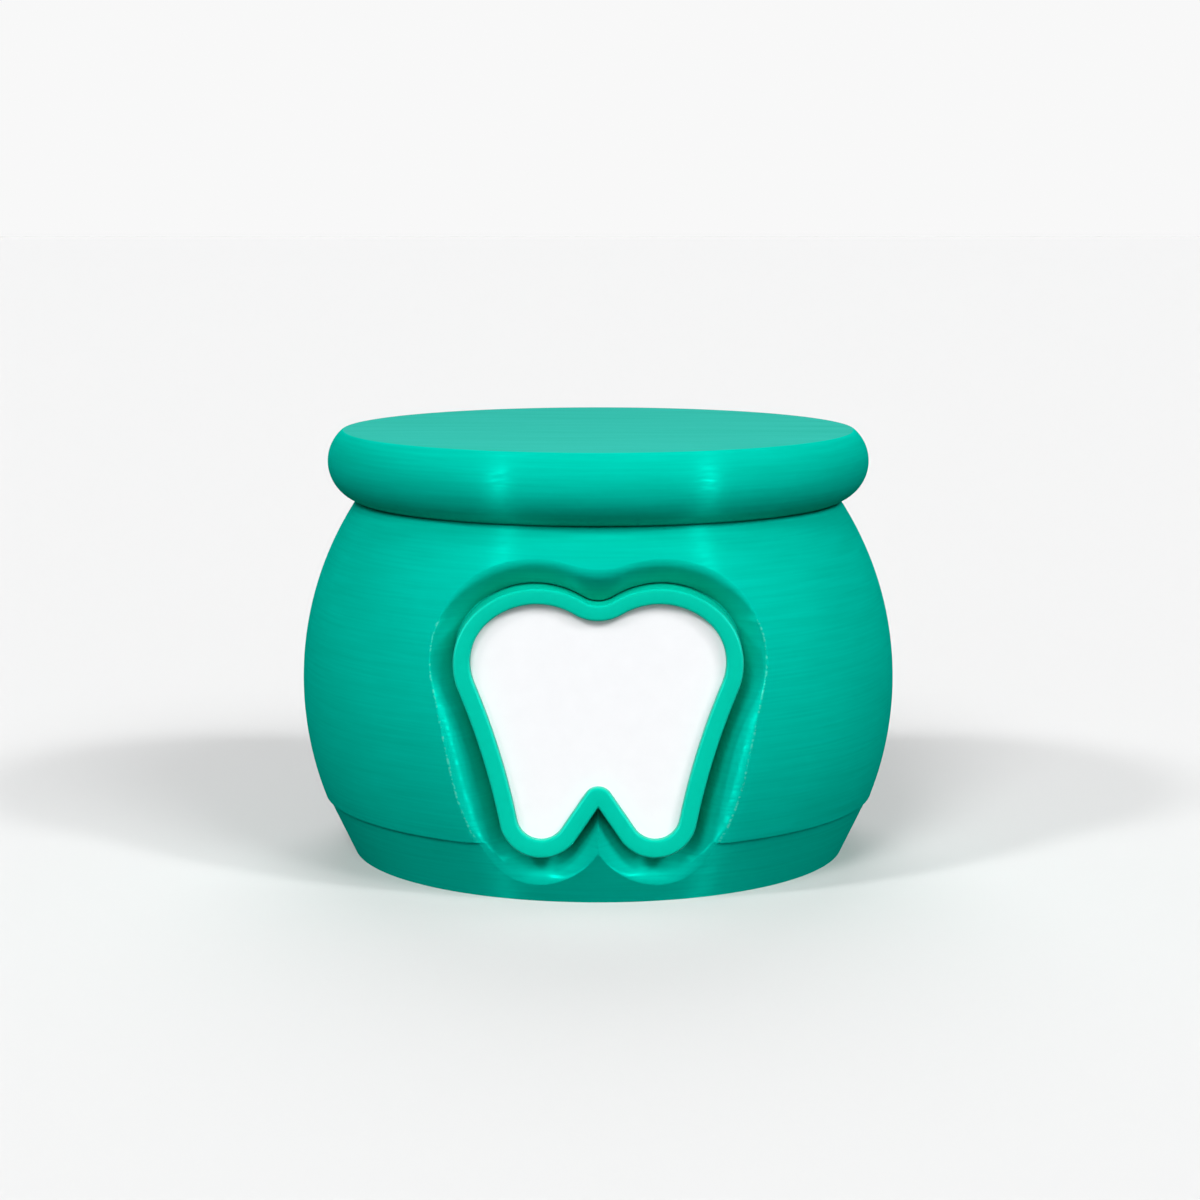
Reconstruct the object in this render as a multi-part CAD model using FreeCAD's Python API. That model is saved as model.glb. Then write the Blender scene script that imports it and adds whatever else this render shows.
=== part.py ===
"""Baby tooth box: a round printed pot with a lift-off lid and a framed white tooth on its front.

Millimetres, +Z up. The origin is the centre of the base and the tooth faces -Y.
"""
import FreeCAD
import Part
import math
import os

Vector = FreeCAD.Vector
AXIS_UP = Vector(0, 0, 1)
ORIGIN = Vector(0, 0, 0)
FULL_TURN = 360

# Pot: a barrel with one arc for its side, turned down to a short conical foot
belly_radius = 30.0
belly_height = 17.3
barrel_arc_radius = 33.0
pot_height = 35.6
foot_height = 5.8
foot_step = 0.2
base_inset = 0.1

# Inside of the pot: a straight round bore with a bevelled corner at its floor
front_wall = 2.0
floor_thickness = 2.4
floor_bevel = 2.5
mouth_bevel = 0.6

# Lid: a flat disc with a half-round edge and a locating ring that drops into the bore
lid_overhang = 2.8
lid_thickness = 7.1
lid_nose_radius = 4.0
spigot_clearance = 0.3
spigot_depth = 3.6
spigot_wall = 2.0
spigot_bevel = 0.5

# Outline of the white tooth, seen from the front: two crown lobes, a hollow waist and two roots
crown_drop = 13.7
lobe_spread = 5.7
lobe_radius = 6.8
shoulder_radius = 5.1
shoulder_angle = 50.0
waist_radius = 54.0
root_spread = 5.35
root_height = 8.7
root_radius = 2.3
dip_radius = 4.3
notch_radius = 1.4
notch_half_angle = 34.0

# Tooth frame: a tray with a raised rim, and the white plate that lies in it
frame_depth = 3.8
frame_rim = 1.6
frame_bevel = 0.3
panel_recess = 1.2
panel_thickness = 1.1
panel_clearance = 0.1

# Moat: a plainer tooth-shaped pocket that takes the frame, with a wide bevel all round its mouth
pocket_gap = 0.2
pocket_dip_radius = 6.0
pocket_waist_radius = 300.0
pocket_root_shift = 0.45
pocket_root_lift = 0.3
pocket_root_gap = 0.7
moat_bevel = 2.2
moat_wall = 1.1
cut_overrun = 2.0
touch = 0.01


def section_point(radius, height):
    return Vector(radius, 0, height)


def front_point(spread, height, depth):
    """Point of an outline on the vertical plane that lies depth in front of the axis."""
    return Vector(spread, -depth, height)


def line(start, end):
    return Part.LineSegment(start, end).toShape()


def arc(start, middle, end):
    return Part.Arc(start, middle, end).toShape()


def turned(section):
    """Ring or disc turned round the vertical axis from a closed half section of edges."""
    return Part.Face(Part.Wire(section)).revolve(ORIGIN, AXIS_UP, FULL_TURN)


def polygon(*points):
    return [line(start, end) for start, end in zip(points, points[1:] + points[:1])]


def barrel_radius(height):
    """Outer radius of the barrel at a height, from its side arc."""
    drop = height - belly_height
    return belly_radius - barrel_arc_radius + math.sqrt(barrel_arc_radius**2 - drop**2)


def on_circle(centre, radius, degrees):
    angle = math.radians(degrees)
    return centre[0] + radius * math.cos(angle), centre[1] + radius * math.sin(angle)


def barrel_depth(spread, height):
    """How far the barrel's side stands in front of the axis at a point seen from the front."""
    return math.sqrt(barrel_radius(height) ** 2 - spread**2)


# The crown hangs from the rim, and the pocket is as deep as its bevel needs where the barrel falls
# away most, at the crown's corners or under the roots. The rest follows from the pocket's floor.
lobe_height = pot_height - crown_drop
pocket_grow = frame_rim + pocket_gap
pocket_root_radius = root_radius + frame_rim + pocket_root_gap
pocket_root_place = (root_spread + pocket_root_shift, root_height + pocket_root_lift)
crown_corner = on_circle((lobe_spread, lobe_height), lobe_radius + pocket_grow, shoulder_angle)
root_corner = on_circle(pocket_root_place, pocket_root_radius, -90)
pocket_floor = min(barrel_depth(*crown_corner), barrel_depth(*root_corner)) - moat_bevel - moat_wall
frame_front = pocket_floor + frame_depth
panel_front = frame_front - panel_recess
panel_back = panel_front - panel_thickness
bore_radius = pocket_floor - front_wall


def barrel():
    """Solid barrel, before its foot, its bore and its moat are cut."""
    low = section_point(barrel_radius(0), 0)
    belly = section_point(belly_radius, belly_height)
    rim = section_point(barrel_radius(pot_height), pot_height)
    top = section_point(0, pot_height)
    return turned([line(ORIGIN, low), arc(low, belly, rim), line(rim, top), line(top, ORIGIN)])


def foot_cut():
    """Ring that is turned off the barrel to leave a conical foot with a small step above it."""
    lip_radius = barrel_radius(foot_height)
    outside = lip_radius + cut_overrun
    return turned(polygon(
        section_point(barrel_radius(0) - base_inset, 0),
        section_point(lip_radius - foot_step, foot_height),
        section_point(outside, foot_height),
        section_point(outside, 0),
    ))


def bore():
    """Space inside the pot, bevelled in at its floor and out at its mouth."""
    over = pot_height + cut_overrun
    wide = bore_radius + mouth_bevel
    return turned(polygon(
        section_point(0, floor_thickness),
        section_point(bore_radius - floor_bevel, floor_thickness),
        section_point(bore_radius, floor_thickness + floor_bevel),
        section_point(bore_radius, pot_height - mouth_bevel),
        section_point(wide, pot_height),
        section_point(wide, over),
        section_point(0, over),
    ))


def bearing(start, end):
    return math.degrees(math.atan2(end[1] - start[1], end[0] - start[0]))


def arc_middle(centre, radius, start, end):
    """Point of a circle halfway between two of its points, the short way round."""
    halfway = ((start[0] + end[0]) / 2, (start[1] + end[1]) / 2)
    return on_circle(centre, radius, bearing(centre, halfway))


def waist_centre(shoulder_place, shoulder, root_place, root, waist):
    """Centre of the hollow waist arc, which touches the shoulder and the root from outside."""
    rise = (shoulder_place[0] - root_place[0], shoulder_place[1] - root_place[1])
    span = math.hypot(*rise)
    along = (span**2 + (waist + root) ** 2 - (waist + shoulder) ** 2) / (2 * span)
    away = math.sqrt((waist + root) ** 2 - along**2)
    return (
        root_place[0] + (rise[0] * along + rise[1] * away) / span,
        root_place[1] + (rise[1] * along - rise[0] * away) / span,
    )


def tooth_face(crown_grow, dip, waist, root_place, root, notch, depth):
    """Tooth outline with its crown grown by an offset, filled in on the plane at that depth."""
    lobe = lobe_radius + crown_grow
    shoulder = shoulder_radius + crown_grow
    lobe_place = (lobe_spread, lobe_height)
    shoulder_place = on_circle(lobe_place, lobe_radius - shoulder_radius, shoulder_angle)
    waist_place = waist_centre(shoulder_place, shoulder, root_place, root, waist)

    # The dip touches both lobes from above
    dip_place = (0, lobe_height + math.sqrt((lobe + dip) ** 2 - lobe_spread**2))
    dip_low = (0, dip_place[1] - dip)
    dip_end = on_circle(lobe_place, lobe, bearing(lobe_place, dip_place))
    lobe_end = on_circle(lobe_place, lobe, shoulder_angle)
    waist_start = on_circle(shoulder_place, shoulder, bearing(shoulder_place, waist_place))
    waist_end = on_circle(root_place, root, bearing(root_place, waist_place))
    root_end = on_circle(root_place, root, 180 + notch_half_angle)

    # The straight sides of the notch leave the roots and meet on the centre line
    half_angle = math.radians(notch_half_angle)
    corner = root_end[1] + root_end[0] / math.tan(half_angle)
    notch_place = (0, corner - notch / math.sin(half_angle))
    notch_start = on_circle(notch_place, notch, notch_half_angle)
    notch_top = on_circle(notch_place, notch, 90)

    arcs = (
        (lobe_place, lobe, dip_end, lobe_end),
        (shoulder_place, shoulder, lobe_end, waist_start),
        (waist_place, waist, waist_start, waist_end),
        (root_place, root, waist_end, root_end),
    )
    edges = []
    for side in (1, -1):
        def point(place):
            return front_point(side * place[0], place[1], depth)
        for centre, radius, start, end in arcs:
            edges.append(arc(point(start), point(arc_middle(centre, radius, start, end)), point(end)))
        edges.append(line(point(root_end), point(notch_start)))

    def across(start, middle):
        return arc(
            front_point(*start, depth), front_point(*middle, depth), front_point(-start[0], start[1], depth))
    edges.append(across(dip_end, dip_low))
    if notch > 0:
        edges.append(across(notch_start, notch_top))
    return Part.Face(Part.Wire(Part.sortEdges(edges)[0]))


def tooth_plate(grow, back, front):
    """Plate with the tooth outline, grown by the same offset all round, between two depths."""
    outline = tooth_face(
        grow,
        dip_radius - grow,
        waist_radius - grow,
        (root_spread, root_height),
        root_radius + grow,
        max(notch_radius - grow, 0),
        back,
    )
    return outline.extrude(Vector(0, back - front, 0))


def pocket():
    """Straight-sided room for the frame, fuller than it beside the roots and in the dip."""
    outline = tooth_face(
        pocket_grow,
        pocket_dip_radius,
        pocket_waist_radius,
        pocket_root_place,
        pocket_root_radius,
        0,
        pocket_floor,
    )
    return outline.extrude(Vector(0, pocket_floor - belly_radius - cut_overrun, 0))


def pot_body():
    """Barrel with the pocket, the bevel that makes the moat round it, the foot and the bore."""
    blank = barrel().cut(pocket())
    mouth = []
    for edge in blank.Edges:
        middle = edge.valueAt((edge.FirstParameter + edge.LastParameter) / 2)
        off_side = math.hypot(middle.x, middle.y) - barrel_radius(middle.z)
        if abs(off_side) < touch and -middle.y > pocket_floor:
            mouth.append(edge)
    return blank.makeChamfer(moat_bevel, mouth).cut(foot_cut()).cut(bore())


def tooth_frame():
    """Tray with a raised rim, bevelled along both edges of its front."""
    tray = tooth_plate(frame_rim, pocket_floor, frame_front).cut(tooth_plate(0, panel_back, frame_front))
    front = [edge for edge in tray.Edges if edge.BoundBox.YMax < touch - frame_front]
    return tray.makeChamfer(frame_bevel, front)


def tooth_panel():
    """White plate that lies in the tray, with a thin gap round its edge."""
    return tooth_plate(-panel_clearance, panel_back, panel_front)


def lid():
    """Disc with a half-round edge, cut flat on top, and a ring that centres it in the bore."""
    under = pot_height
    top = under + lid_thickness
    lid_radius = barrel_radius(pot_height) + lid_overhang
    nose_height = under + lid_nose_radius
    nose_centre = lid_radius - lid_nose_radius
    top_radius = nose_centre + math.sqrt(lid_nose_radius**2 - (top - nose_height) ** 2)
    spigot_radius = bore_radius - spigot_clearance
    spigot_inner = spigot_radius - spigot_wall
    spigot_low = under - spigot_depth
    top_edge = section_point(top_radius, top)
    nose = section_point(lid_radius, nose_height)
    outline = [
        section_point(nose_centre, under),
        section_point(spigot_radius, under),
        section_point(spigot_radius, spigot_low + spigot_bevel),
        section_point(spigot_radius - spigot_bevel, spigot_low),
        section_point(spigot_inner, spigot_low),
        section_point(spigot_inner, under),
        section_point(0, under),
        section_point(0, top),
        top_edge,
    ]
    edges = [line(start, end) for start, end in zip(outline, outline[1:])]
    edges.append(arc(top_edge, nose, outline[0]))
    return turned(edges)


os.makedirs("parts", exist_ok=True)
for build in (pot_body, tooth_frame, tooth_panel, lid):
    shape = build()
    shape.exportStep("parts/" + build.__name__ + ".step")
    print(build.__name__, shape.isValid(), len(shape.Solids), round(shape.Volume, 1))
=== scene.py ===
# Baby tooth box: a round printed pot with a lift-off lid and a framed white tooth on its front.
# Sizes are in millimetres and become metres when each mesh is finished. The tooth faces -Y.
import bmesh
import bpy
import math
import numpy as np
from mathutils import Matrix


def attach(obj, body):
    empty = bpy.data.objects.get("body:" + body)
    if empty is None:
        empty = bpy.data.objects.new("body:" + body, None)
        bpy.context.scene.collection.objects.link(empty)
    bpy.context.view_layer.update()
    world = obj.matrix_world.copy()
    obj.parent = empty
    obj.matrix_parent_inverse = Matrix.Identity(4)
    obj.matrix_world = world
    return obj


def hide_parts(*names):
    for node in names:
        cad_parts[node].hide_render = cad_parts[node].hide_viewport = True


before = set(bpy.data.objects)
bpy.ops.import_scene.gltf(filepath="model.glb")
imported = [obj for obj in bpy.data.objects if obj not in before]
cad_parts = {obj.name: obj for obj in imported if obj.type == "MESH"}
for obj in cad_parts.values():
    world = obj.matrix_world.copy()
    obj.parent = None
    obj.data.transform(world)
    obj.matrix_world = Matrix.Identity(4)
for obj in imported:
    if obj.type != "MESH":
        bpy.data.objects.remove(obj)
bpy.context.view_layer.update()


# The pot: a barrel of green PLA, printed upright in fine layers, with a slightly narrower foot.
# A sloped moat is sunk into its front round the tooth, and its two halves meet in a ridge
# between the roots. It is open at the top, with a straight bore and a bevelled floor.
belly_radius, belly_height, side_arc = 30.0, 17.3, 33.0
pot_height, foot_height, foot_step, base_radius = 35.6, 5.8, 0.2, 25.0
bore_radius, floor_thickness, floor_bevel, mouth_bevel = 20.4, 2.4, 2.5, 0.6
pocket_floor = 22.4
turn_steps, side_points, pot_crease, moat_crease = 360, 61, 20, 14
millimetre, merge_distance = 0.001, 1e-4


def barrel_radius(height):
    return belly_radius - side_arc + math.sqrt(side_arc**2 - (height - belly_height) ** 2)


def pot_radius(height):
    """Outer radius of the barrel or, lower down, of its conical foot."""
    if height > foot_height:
        return barrel_radius(height)
    foot_top = barrel_radius(foot_height) - foot_step
    return base_radius + (foot_top - base_radius) * height / foot_height


def turned(section):
    """Section of (radius, height) points, spun once round the upright axis."""
    shape = bmesh.new()
    verts = [shape.verts.new((radius, 0, height)) for radius, height in section]
    edges = [shape.edges.new(pair) for pair in zip(verts, verts[1:])]
    bmesh.ops.spin(shape, geom=verts + edges, cent=(0, 0, 0), axis=(0, 0, 1), dvec=(0, 0, 0),
                   angle=math.tau, steps=turn_steps, use_merge=True)
    bmesh.ops.remove_doubles(shape, verts=shape.verts, dist=merge_distance)
    bmesh.ops.recalc_face_normals(shape, faces=shape.faces)
    return shape


def capped(shape):
    """Fills the open ends of a shape and turns its faces outwards."""
    open_edges = [edge for edge in shape.edges if edge.is_boundary]
    bmesh.ops.holes_fill(shape, edges=open_edges, sides=0)
    bmesh.ops.recalc_face_normals(shape, faces=shape.faces)


def made(name, shape, crease):
    """Object from a shape in millimetres, smooth up to the crease angle in degrees."""
    bmesh.ops.scale(shape, vec=(millimetre, millimetre, millimetre), verts=shape.verts)
    mesh = bpy.data.meshes.new(name)
    shape.to_mesh(mesh)
    shape.free()
    mesh.shade_smooth()
    mesh.set_sharp_from_angle(angle=math.radians(crease))
    piece = bpy.data.objects.new(name, mesh)
    bpy.context.scene.collection.objects.link(piece)
    return piece


pot_section = [(0, 0), (base_radius, 0), (pot_radius(foot_height), foot_height)]
side_heights = np.linspace(foot_height, pot_height, side_points)
pot_section += [(barrel_radius(height), height) for height in side_heights]
pot_section += [(bore_radius + mouth_bevel, pot_height), (bore_radius, pot_height - mouth_bevel),
                (bore_radius, floor_thickness + floor_bevel), (bore_radius - floor_bevel, floor_thickness),
                (0, floor_thickness)]
pot = made("printed_pot", turned(pot_section), pot_crease)

# The tooth's outline is made of arcs that touch: dip, lobe, shoulder, waist, root, and the notch.
lobe_place, lobe_radius, dip_radius, waist_radius = (5.7, 21.78), 6.8, 4.3, 70.0
shoulder_radius, shoulder_angle = 5.1, 50.0
root_place, root_radius = (5.35, 8.58), 2.3
notch_radius, notch_half_angle = 1.4, 34.0
short_steps, long_steps, root_steps = 12, 28, 36


def on_circle(centre, radius, degrees):
    angle = math.radians(degrees)
    return centre[0] + radius * math.cos(angle), centre[1] + radius * math.sin(angle)


def swept(centre, radius, start, end, steps):
    """Points of an arc between two angles in degrees, without the last one."""
    angles = np.linspace(start, end, steps, endpoint=False)
    return [on_circle(centre, radius, degrees) for degrees in angles]


def bearing(start, end):
    return math.degrees(math.atan2(end[1] - start[1], end[0] - start[0]))


def tooth(crown_grow, dip, waist, root_centre, root, notch):
    """Closed outline of (x, z) points, clockwise from the middle of the dip."""
    lobe, shoulder = lobe_radius + crown_grow, shoulder_radius + crown_grow
    shoulder_place = on_circle(lobe_place, lobe_radius - shoulder_radius, shoulder_angle)
    dip_place = (0, lobe_place[1] + math.sqrt((lobe + dip) ** 2 - lobe_place[0] ** 2))

    # The hollow waist touches the shoulder and the root from outside
    rise = np.subtract(shoulder_place, root_centre)
    span = np.hypot(*rise)
    along = (span**2 + (waist + root) ** 2 - (waist + shoulder) ** 2) / (2 * span)
    away = math.sqrt((waist + root) ** 2 - along**2)
    waist_place = (root_centre[0] + (rise[0] * along + rise[1] * away) / span,
                   root_centre[1] + (rise[1] * along - rise[0] * away) / span)

    # The straight sides of the notch leave the roots and meet on the centre line
    half_angle = math.radians(notch_half_angle)
    root_end = on_circle(root_centre, root, 180 + notch_half_angle)
    corner = root_end[1] + root_end[0] / math.tan(half_angle)
    notch_place = (0, corner - notch / math.sin(half_angle))
    notch_start = on_circle(notch_place, notch, notch_half_angle)

    right = swept(dip_place, dip, -90, bearing(dip_place, lobe_place), short_steps)
    right += swept(lobe_place, lobe, bearing(lobe_place, dip_place), shoulder_angle, long_steps)
    right += swept(shoulder_place, shoulder, shoulder_angle,
                   bearing(shoulder_place, waist_place), long_steps)
    right += swept(waist_place, waist, bearing(waist_place, shoulder_place) % 360,
                   bearing(waist_place, root_centre) % 360, long_steps)
    right += swept(root_centre, root, bearing(root_centre, waist_place),
                   notch_half_angle - 180, root_steps)
    right += [tuple(point) for point in np.linspace(root_end, notch_start, short_steps, endpoint=False)]
    right += swept(notch_place, notch, notch_half_angle, 90, short_steps)
    low = (0, notch_place[1] + notch)
    return right + [low] + [(-x, z) for x, z in right[:0:-1]]


# The moat's wall slopes evenly over the crown. Lower down it turns into a flatter slope with a
# trough beside the frame. Its crest is soft over the crown and under the roots and crisp at the
# sides, as printed, and it is cut in a little at the corners beside the roots.
moat_inset, crest_grow, crest_dip, crest_waist = 1.76, 3.85, 8.0, 2000.0
crest_root_place, crest_root_radius = (5.95, 8.8), 6.9
corner_cut, corner_angle, corner_width = 0.8, 48, 12.7
slope_heights, slope_angles = (2, 9, 17, 28), (22, 18, 20, 38)
soft_heights, crest_softness = (2, 4, 8, 27, 31), (0.9, 0.7, 0.06, 0.06, 0.86)
crown_low, crown_high, crown_trough, trough_power = 17, 28, 0.4, 3.5
lift_angle, cutter_overrun = 5, 5
wall_shares = (0, 0.06, 0.12, 0.19, 0.27, 0.36, 0.46, 0.57, 0.68, 0.78, 0.85, 0.9, 0.94, 0.97, 1)
beyond_crest = (0.06, 0.12, 0.2, 0.3, 0.45, 0.65, 0.9, 1.3)
rings = len(wall_shares) + len(beyond_crest) + 2
spokes, hub = 720, (0, 16.0)
spoke_angles = np.radians(np.linspace(-90, 270, spokes + 1))


def reach(outline):
    """Distance from the hub to an outline along each spoke."""
    x, z = np.subtract(outline, hub).T
    return np.interp(spoke_angles, np.arctan2(z, x), np.hypot(x, z), period=math.tau)


frame_reach = reach(tooth(moat_inset, dip_radius - moat_inset, waist_radius, root_place,
                          root_radius + moat_inset, 0))
crest_reach = reach(tooth(crest_grow, crest_dip, crest_waist, crest_root_place, crest_root_radius, 0))
from_below = np.abs((np.degrees(spoke_angles) + 270) % 360 - 180)
crest_reach = crest_reach - corner_cut * np.exp(-((from_below - corner_angle) / corner_width) ** 2)


def on_spoke(angle, out):
    return hub[0] + out * math.cos(angle), hub[1] + out * math.sin(angle)


def depth_at(radius, x):
    """How far a round side of that radius stands in front of the axis, off to one side."""
    return math.sqrt(radius**2 - x**2)


def moat_depth(angle, inner, crest, out):
    """Depth of the moat's wall, or of the pot's side beyond the crest, with a soft turn between."""
    x, z = on_spoke(angle, out)
    crest_x, crest_z = on_spoke(angle, crest)
    crest_depth = depth_at(barrel_radius(crest_z), crest_x)
    slope = math.tan(math.radians(np.interp(crest_z, slope_heights, slope_angles)))

    # The trough goes down to the pocket's floor beside the roots and is shallow over the crown
    crown = min(max((crest_z - crown_low) / (crown_high - crown_low), 0), 1)
    root_trough = crest_depth - (crest - inner) * slope - pocket_floor
    trough = root_trough + (crown_trough - root_trough) * crown
    fall = max(crest - out, 0) / (crest - inner)
    wall = crest_depth + (out - crest) * slope - trough * fall**trough_power

    # Past the crest the cutter lifts off the side, so that it takes nothing away there
    foot_fall = (crest_depth - depth_at(pot_radius(crest_z), crest_x)) / slope
    lift = max(out - crest + foot_fall, 0) * math.tan(math.radians(lift_angle))
    side = depth_at(pot_radius(z), x) + lift
    softness = np.interp(crest_z, soft_heights, crest_softness)
    overlap = max(softness - abs(wall - side), 0)
    return min(wall, side) - overlap**2 / softness / 4


def moat_point(spoke, ring):
    """Point of the moat cutter: ring 0 is the pocket's floor and the last ring is out in front."""
    angle, inner, crest = spoke_angles[spoke], frame_reach[spoke], crest_reach[spoke]
    reaches = [inner + (crest - inner) * share for share in wall_shares]
    reaches += [crest + beyond for beyond in beyond_crest]
    out = reaches[min(max(ring - 1, 0), len(reaches) - 1)]
    if ring == 0:
        depth = pocket_floor
    elif ring == rings - 1:
        depth = belly_radius + cutter_overrun
    else:
        depth = moat_depth(angle, inner, crest, out)
    x, z = on_spoke(angle, out)
    return x, -depth, z


cutter_shape = bmesh.new()
bmesh.ops.create_grid(cutter_shape, x_segments=spokes, y_segments=rings - 1, size=1)
for vert in cutter_shape.verts:
    spoke = round((vert.co.x + 1) / 2 * spokes)
    ring = round((vert.co.y + 1) / 2 * (rings - 1))
    vert.co = moat_point(spoke, ring)
bmesh.ops.remove_doubles(cutter_shape, verts=cutter_shape.verts, dist=merge_distance)
capped(cutter_shape)
cutter = made("moat_cutter", cutter_shape, pot_crease)
sink = pot.modifiers.new("moat", "BOOLEAN")
sink.operation, sink.solver, sink.object = "DIFFERENCE", "EXACT", cutter
bpy.context.view_layer.update()
cut_mesh = bpy.data.meshes.new_from_object(pot.evaluated_get(bpy.context.evaluated_depsgraph_get()))
pot.modifiers.remove(sink)
pot.data = cut_mesh
cut_mesh.shade_smooth()
cut_mesh.set_sharp_from_angle(angle=math.radians(moat_crease))
bpy.data.objects.remove(cutter)

# Each point keeps how near it is to the moat's crest, from 0 at 1 mm away to 1 on it, so that a painted
# highlight can be laid along the sides of the crest, where the ends of the printed layers catch the light.
crest_highlight_low, crest_highlight_high = 6, 27
points = np.empty(len(cut_mesh.vertices) * 3)
cut_mesh.vertices.foreach_get("co", points)
x, y, z = points.reshape(-1, 3).T / millimetre
angles = np.arctan2(z - hub[1], x - hub[0])
crest_here = np.interp(angles, spoke_angles, crest_reach, period=math.tau)
from_crest = np.hypot(x - hub[0], z - hub[1]) - crest_here
has_crest_highlight = (y < 0) & (z > crest_highlight_low) & (z < crest_highlight_high)
near_crest = np.where(has_crest_highlight, np.maximum(1 - np.abs(from_crest), 0), 0)
cut_mesh.attributes.new("near_crest", "FLOAT", "POINT").data.foreach_set("value", near_crest)


def linear(hex_colour):
    """sRGB hex value as linear red, green and blue with full alpha."""
    values = [int(hex_colour[i:i + 2], 16) / 255 for i in (0, 2, 4)]
    return [v / 12.92 if v < 0.04045 else ((v + 0.055) / 1.055) ** 2.4 for v in values] + [1]


def node(tree, kind, settings=None, values=None, links=None):
    """Adds a node with its settings, its socket values and its incoming links."""
    added = tree.nodes.new(kind)
    for name, value in (settings or {}).items():
        setattr(added, name, value)
    for socket, value in (values or {}).items():
        added.inputs[socket].default_value = value
    for socket, source in (links or {}).items():
        tree.links.new(source, added.inputs[socket])
    return added


def new_finish(name, values):
    """New material with those values on its shader's sockets, its node tree and its shader."""
    material = bpy.data.materials.new(name)
    material.use_nodes = True
    shader = material.node_tree.nodes["Principled BSDF"]
    for socket, value in values.items():
        shader.inputs[socket].default_value = value
    return material, material.node_tree, shader


def grain(tree, sizes, detail):
    """Uneven pattern on the piece, with features of those sizes in millimetres along X, Y and Z."""
    place = node(tree, "ShaderNodeTexCoord").outputs["Object"]
    scales = [1 / (size * millimetre) for size in sizes]
    scaled = node(tree, "ShaderNodeMapping", values={"Scale": scales}, links={"Vector": place})
    return node(tree, "ShaderNodeTexNoise", values={"Scale": 1.0, "Detail": detail},
                links={"Vector": scaled.outputs["Vector"]}).outputs["Fac"]


# Green PLA printed upright: matt and even, with fine level layer lines that spread the shine up
# and down. A trace of metal gives its silky green sheen, with no white glare where it turns away.
# Such layers are usually 0.2 mm. They are drawn 0.24 mm apart, because finer ones would not show.
# The crest colour is a painted highlight, laid on the crest's sides where the layer ends catch the light.
layer_dark, layer_light, crest_highlight_colour, sheen_tint = "00b59e", "00bfa9", "7fe8d2", "30ffec"
layer_size, dash_size = (9, 9, 0.24), (1.8, 1.8, 0.18)
cloud_size, crest_highlight_size = (9, 9, 6), (0.6, 0.6, 0.3)
layer_relief, cloud_share = 0.04, 0.12
layered, tree, shader = new_finish("green_pla_printed_in_layers", {
    "Metallic": 0.05, "Specular IOR Level": 0.0, "Specular Tint": linear(sheen_tint),
    "Anisotropic": 1.0, "Anisotropic Rotation": 0.25})
around = node(tree, "ShaderNodeVectorMath", {"operation": "CROSS_PRODUCT"}, {1: (0, 0, 1)},
              {0: node(tree, "ShaderNodeTexCoord").outputs["Object"]})
tree.links.new(around.outputs["Vector"], shader.inputs["Tangent"])

lines = grain(tree, layer_size, detail=4)
line_share = node(tree, "ShaderNodeMapRange", values={"From Min": 0.3, "From Max": 0.7},
                  links={"Value": lines})
tones = node(tree, "ShaderNodeMix", {"data_type": "RGBA"},
             {"A": linear(layer_dark), "B": linear(layer_light)},
             {"Factor": line_share.outputs["Result"]})
tones = node(tree, "ShaderNodeMix", {"data_type": "RGBA", "blend_type": "MULTIPLY"},
             {"Factor": cloud_share}, {"A": tones.outputs["Result"], "B": grain(tree, cloud_size, detail=2)})
# A broken line of painted highlight along the crest's sides, lighter where the layer ends catch the light.
crest = node(tree, "ShaderNodeAttribute", {"attribute_name": "near_crest"})
crest_share = node(tree, "ShaderNodeMapRange",
                   values={"From Min": 0.84, "From Max": 0.97, "To Max": 0.28},
                   links={"Value": crest.outputs["Fac"]})
broken_share = node(tree, "ShaderNodeMapRange", values={"From Min": 0.48, "From Max": 0.62},
                    links={"Value": grain(tree, crest_highlight_size, detail=2)})
painted_crest_highlight = node(tree, "ShaderNodeMath", {"operation": "MULTIPLY"},
               links={0: crest_share.outputs["Result"], 1: broken_share.outputs["Result"]})
colour = node(tree, "ShaderNodeMix", {"data_type": "RGBA"}, {"B": linear(crest_highlight_colour)},
              {"Factor": painted_crest_highlight.outputs["Value"], "A": tones.outputs["Result"]})
tree.links.new(colour.outputs["Result"], shader.inputs["Base Color"])

facing = node(tree, "ShaderNodeLayerWeight", values={"Blend": 0.5})
edgeways = node(tree, "ShaderNodeMapRange", values={"From Min": 0.35, "From Max": 0.75, "To Max": 0.6},
                links={"Value": facing.outputs["Facing"]})
dashes = node(tree, "ShaderNodeMapRange",
              values={"From Min": 0.35, "From Max": 0.65, "To Min": 0.3, "To Max": 0.56},
              links={"Value": grain(tree, dash_size, detail=2)})
roughness = node(tree, "ShaderNodeMath", {"operation": "ADD", "use_clamp": True},
                 links={0: dashes.outputs["Result"], 1: edgeways.outputs["Result"]})
tree.links.new(roughness.outputs["Value"], shader.inputs["Roughness"])
relief = node(tree, "ShaderNodeBump", values={"Strength": 0.3, "Distance": layer_relief * millimetre},
              links={"Height": lines})
tree.links.new(relief.outputs["Normal"], shader.inputs["Normal"])

cut_mesh.materials.clear()
cut_mesh.materials.append(layered)
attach(pot, "pot")
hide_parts("pot_body")


# The tooth frame: a tray of the same green PLA, printed lying flat and glued into the moat.
# Its rim stands 0.75 mm above the white panel and is rounded over along both edges.
frame_front, panel_front, panel_back, frame_rim = 26.7, 25.95, 24.85, 1.62
tray_lift, rim_notch_radius, rim_round, frame_crease = 0.12, 0.02, 0.25, 35
outer_segments, inner_segments = 5, 4


def loop(shape, outline, depth):
    """Closed loop of edges along an outline, on the upright plane at that depth."""
    verts = [shape.verts.new((x, -depth, z)) for x, z in outline]
    return [shape.edges.new(pair) for pair in zip(verts, verts[1:] + verts[:1])]


def lifted(outline):
    """Outline moved up a little, because the tray isn't quite in the middle of its rim."""
    return [(x, z + tray_lift) for x, z in outline]


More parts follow.
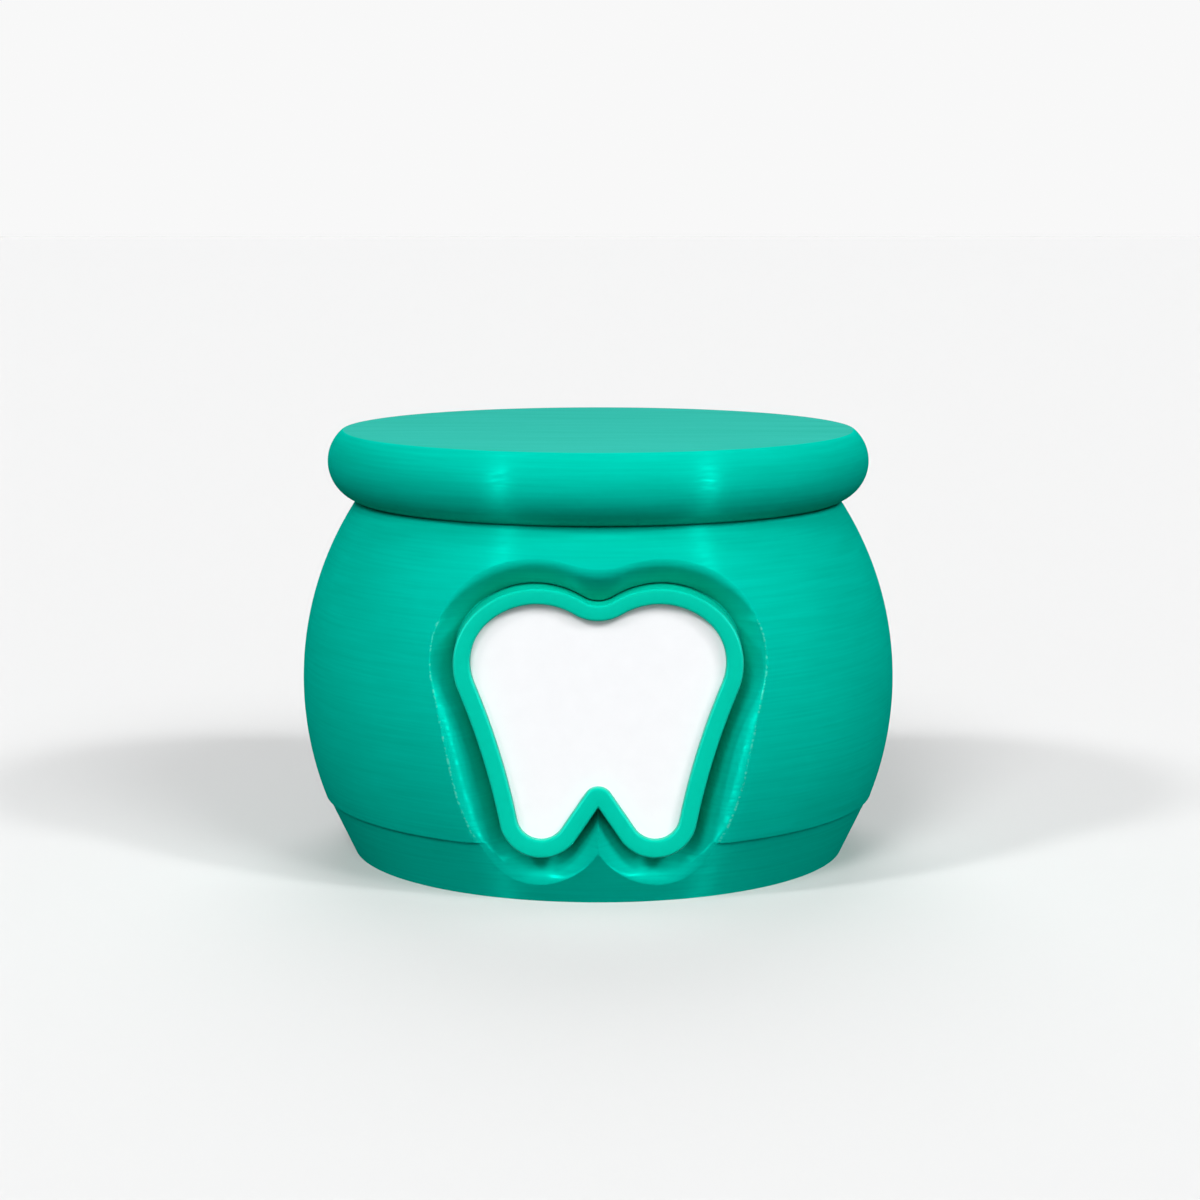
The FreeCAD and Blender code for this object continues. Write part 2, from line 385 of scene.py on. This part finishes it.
rim_outline = tooth(frame_rim, dip_radius - frame_rim, waist_radius - frame_rim, root_place,
                    root_radius + frame_rim, rim_notch_radius)
tray_outline = lifted(tooth(0, dip_radius, waist_radius, root_place, root_radius, notch_radius))
shape = bmesh.new()
loops = [loop(shape, rim_outline, pocket_floor), loop(shape, rim_outline, frame_front),
         loop(shape, tray_outline, frame_front), loop(shape, tray_outline, panel_back)]
for near, far in zip(loops, loops[1:]):
    bmesh.ops.bridge_loops(shape, edges=near + far)
capped(shape)
for front_loop, segments in ((loops[1], outer_segments), (loops[2], inner_segments)):
    bmesh.ops.bevel(shape, geom=[edge for edge in front_loop if edge.is_valid], offset=rim_round,
                    segments=segments, profile=0.5, affect="EDGES", material=-1)
tooth_rim = made("printed_tooth_frame", shape, frame_crease)

# Green PLA printed lying flat: smooth and even, with only a faint mottle and no lines.
flat_dark, flat_light, flat_mottle, flat_relief = "00b89c", "00c1a5", (0.7, 0.7, 0.7), 0.03
flat_green, tree, shader = new_finish("green_pla_printed_flat", {
    "Roughness": 0.42, "IOR": 1.46, "Specular Tint": linear(sheen_tint)})
mottle = grain(tree, flat_mottle, detail=3)
colour = node(tree, "ShaderNodeMix", {"data_type": "RGBA"},
              {"A": linear(flat_dark), "B": linear(flat_light)}, {"Factor": mottle})
tree.links.new(colour.outputs["Result"], shader.inputs["Base Color"])
relief = node(tree, "ShaderNodeBump", values={"Strength": 0.15, "Distance": flat_relief * millimetre},
              links={"Height": mottle})
tree.links.new(relief.outputs["Normal"], shader.inputs["Normal"])
tooth_rim.data.materials.append(flat_green)
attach(tooth_rim, "pot")
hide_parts("tooth_frame")


# The tooth panel: a plate of white PLA, 1.1 mm thick, that lies in the frame's tray.
# It is printed face down on a smooth bed and left bare.
panel_gap, panel_crease = 0.02, 35
panel_outline = lifted(tooth(-panel_gap, dip_radius + panel_gap, waist_radius, root_place,
                             root_radius - panel_gap, notch_radius + panel_gap))
shape = bmesh.new()
back, front = loop(shape, panel_outline, panel_back), loop(shape, panel_outline, panel_front)
bmesh.ops.bridge_loops(shape, edges=back + front)
capped(shape)
tooth_plate = made("white_tooth_panel", shape, panel_crease)

# White PLA off a smooth bed: bright and satin, with a faint unevenness.
white_dark, white_light, white_mottle = "eff0f2", "f3f4f6", (1.4, 1.4, 1.4)
white, tree, shader = new_finish("white_pla_smooth", {"Roughness": 0.4, "IOR": 1.46})
mottle = grain(tree, white_mottle, detail=2)
colour = node(tree, "ShaderNodeMix", {"data_type": "RGBA"},
              {"A": linear(white_dark), "B": linear(white_light)}, {"Factor": mottle})
tree.links.new(colour.outputs["Result"], shader.inputs["Base Color"])
tooth_plate.data.materials.append(white)
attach(tooth_plate, "pot")
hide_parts("tooth_panel")


# The lid: a green PLA disc with a half-round edge cut flat on top, printed upright like the pot.
# A ring under it drops into the bore with 0.3 mm of room and keeps it centred.
lid_radius, lid_thickness, nose_radius, top_round = 27.26, 7.1, 4.0, 0.12
ring_radius, ring_wall, ring_depth, ring_bevel = 20.1, 2.0, 3.6, 0.5
nose_steps, lid_crease, level_slack, flat_up = 48, 28, 0.01, 0.99
lid_top = pot_height + lid_thickness
nose = (lid_radius - nose_radius, pot_height + nose_radius)
nose_end = math.degrees(math.asin((lid_thickness - nose_radius) / nose_radius))
lid_section = [(0, pot_height), (ring_radius - ring_wall, pot_height),
               (ring_radius - ring_wall, pot_height - ring_depth),
               (ring_radius - ring_bevel, pot_height - ring_depth),
               (ring_radius, pot_height - ring_depth + ring_bevel), (ring_radius, pot_height)]
lid_section += swept(nose, nose_radius, -90, nose_end, nose_steps)
lid_section += [(on_circle(nose, nose_radius, nose_end)[0], lid_top), (0, lid_top)]
shape = turned(lid_section)
rim_verts = {vert for vert in shape.verts
             if vert.co.z > lid_top - level_slack and vert.co.xy.length > ring_radius}
top_edge = [edge for edge in shape.edges if all(vert in rim_verts for vert in edge.verts)]
bmesh.ops.bevel(shape, geom=top_edge, offset=top_round, segments=2, profile=0.5, affect="EDGES",
                material=-1)
for face in shape.faces:
    on_top = face.calc_center_median().z > lid_top - level_slack
    face.material_index = int(on_top and face.normal.z > flat_up)
lid = made("printed_lid", shape, lid_crease)

# The lid's last layer: the same green PLA laid in straight level strokes, and matt.
# Its colour is greyed a little by a painted reflection of the pale surroundings on the flat top.
top_dark_painted_reflection, top_light_painted_reflection, stroke_size, stroke_relief = "2ea695", "35aea0", (14, 0.7, 2), 0.03
top_green_painted_reflection, tree, shader = new_finish("green_pla_top_layer_painted_reflection", {
    "Roughness": 0.75, "Specular IOR Level": 0.0})
strokes = grain(tree, stroke_size, detail=3)
stroke_share = node(tree, "ShaderNodeMapRange", values={"From Min": 0.3, "From Max": 0.7},
                    links={"Value": strokes})
colour = node(tree, "ShaderNodeMix", {"data_type": "RGBA"},
              {"A": linear(top_dark_painted_reflection), "B": linear(top_light_painted_reflection)}, {"Factor": stroke_share.outputs["Result"]})
tree.links.new(colour.outputs["Result"], shader.inputs["Base Color"])
relief = node(tree, "ShaderNodeBump", values={"Strength": 0.2, "Distance": stroke_relief * millimetre},
              links={"Height": strokes})
tree.links.new(relief.outputs["Normal"], shader.inputs["Normal"])
lid.data.materials.append(layered)
lid.data.materials.append(top_green_painted_reflection)
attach(lid, "lid")
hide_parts("lid")


# The floor: a plain pale sheet under the box, which keeps its shadow.
# It is dark to the rays that only carry light, so that it sends little of it back up.
floor_reach, floor_crease, floor_seen, floor_unseen = 3000, 30, "d9d9d9", "3c3c3c"
shape = bmesh.new()
bmesh.ops.create_grid(shape, x_segments=1, y_segments=1, size=floor_reach)
floor = made("floor", shape, floor_crease)


def seen(tree):
    """One for the rays that show the surroundings, and nought for the ones that only light the box."""
    path = node(tree, "ShaderNodeLightPath").outputs
    direct = node(tree, "ShaderNodeMath", {"operation": "ADD"},
                  links={0: path["Is Camera Ray"], 1: path["Is Glossy Ray"]})
    return node(tree, "ShaderNodeMath", {"operation": "ADD", "use_clamp": True},
                links={0: direct.outputs["Value"], 1: path["Is Transmission Ray"]}).outputs["Value"]


paper, tree, shader = new_finish("pale_floor", {"Roughness": 0.9, "Specular IOR Level": 0.0})
colour = node(tree, "ShaderNodeMix", {"data_type": "RGBA"},
              {"A": linear(floor_unseen), "B": linear(floor_seen)}, {"Factor": seen(tree)})
tree.links.new(colour.outputs["Result"], shader.inputs["Base Color"])
floor.data.materials.append(paper)


# Soft light: two from in front, a weak low one, one from each side, one behind, and an even fill.
# Two more only draw the upright bands of sheen on the print, and light nothing else.
fill_colour, fill_level, backdrop_colour, backdrop_level = "f2f4f6", 0.15, "ffffff", 0.94


def sun(name, azimuth, elevation, size, level, lights=True, shines=False):
    """Distant light of that width in degrees. At level 1 it shows a facing colour as it is written."""
    light = bpy.data.lights.new(name, "SUN")
    light.energy, light.angle = math.pi * level, math.radians(size)
    holder = bpy.data.objects.new(name, light)
    holder.rotation_euler = (math.radians(90 - elevation), 0, math.radians(azimuth))
    holder.visible_diffuse, holder.visible_glossy = lights, shines
    bpy.context.scene.collection.objects.link(holder)


sun("front", -20, 40, 20, 0.44)
sun("front_right", 40, 38, 20, 0.32)
sun("low", 0, 8, 60, 0.27)
sun("left", -54, 40, 8, 0.32)
sun("right", 57, 38, 8, 0.32)
sun("behind", 180, 45, 40, 0.36)
sun("left_sheen", -42, 10, 6, 1.35, lights=False, shines=True)
sun("right_sheen", 47, 10, 6, 1.45, lights=False, shines=True)
world = bpy.data.worlds.new("studio")
bpy.context.scene.world = world
world.use_nodes = True
tree = world.node_tree
fill = tree.nodes["Background"]
fill.inputs["Color"].default_value = linear(fill_colour)
fill.inputs["Strength"].default_value = fill_level
backdrop = node(tree, "ShaderNodeBackground",
                values={"Color": linear(backdrop_colour), "Strength": backdrop_level})
mixed = node(tree, "ShaderNodeMixShader", links={
    0: seen(tree), 1: fill.outputs["Background"], 2: backdrop.outputs["Background"]})
tree.links.new(mixed.outputs["Shader"], tree.nodes["World Output"].inputs["Surface"])

# The camera: 281 mm in front of the pot's axis and 25 mm above the lid, looking slightly down.
# Its lens and shift give the photograph's framing.
camera_distance, camera_height, camera_tilt = 280.9, 67.7, 8.62
lens, sensor_width, framing_shift = 83.55, 36, 0.0015
camera = bpy.data.objects.new("camera", bpy.data.cameras.new("camera"))
camera.data.lens, camera.data.sensor_width, camera.data.shift_x = lens, sensor_width, framing_shift
camera.location = (0, -camera_distance * millimetre, camera_height * millimetre)
camera.rotation_euler = (math.radians(90 - camera_tilt), 0, 0)
bpy.context.scene.collection.objects.link(camera)
bpy.context.scene.camera = camera
bpy.context.scene.view_settings.view_transform = "Standard"
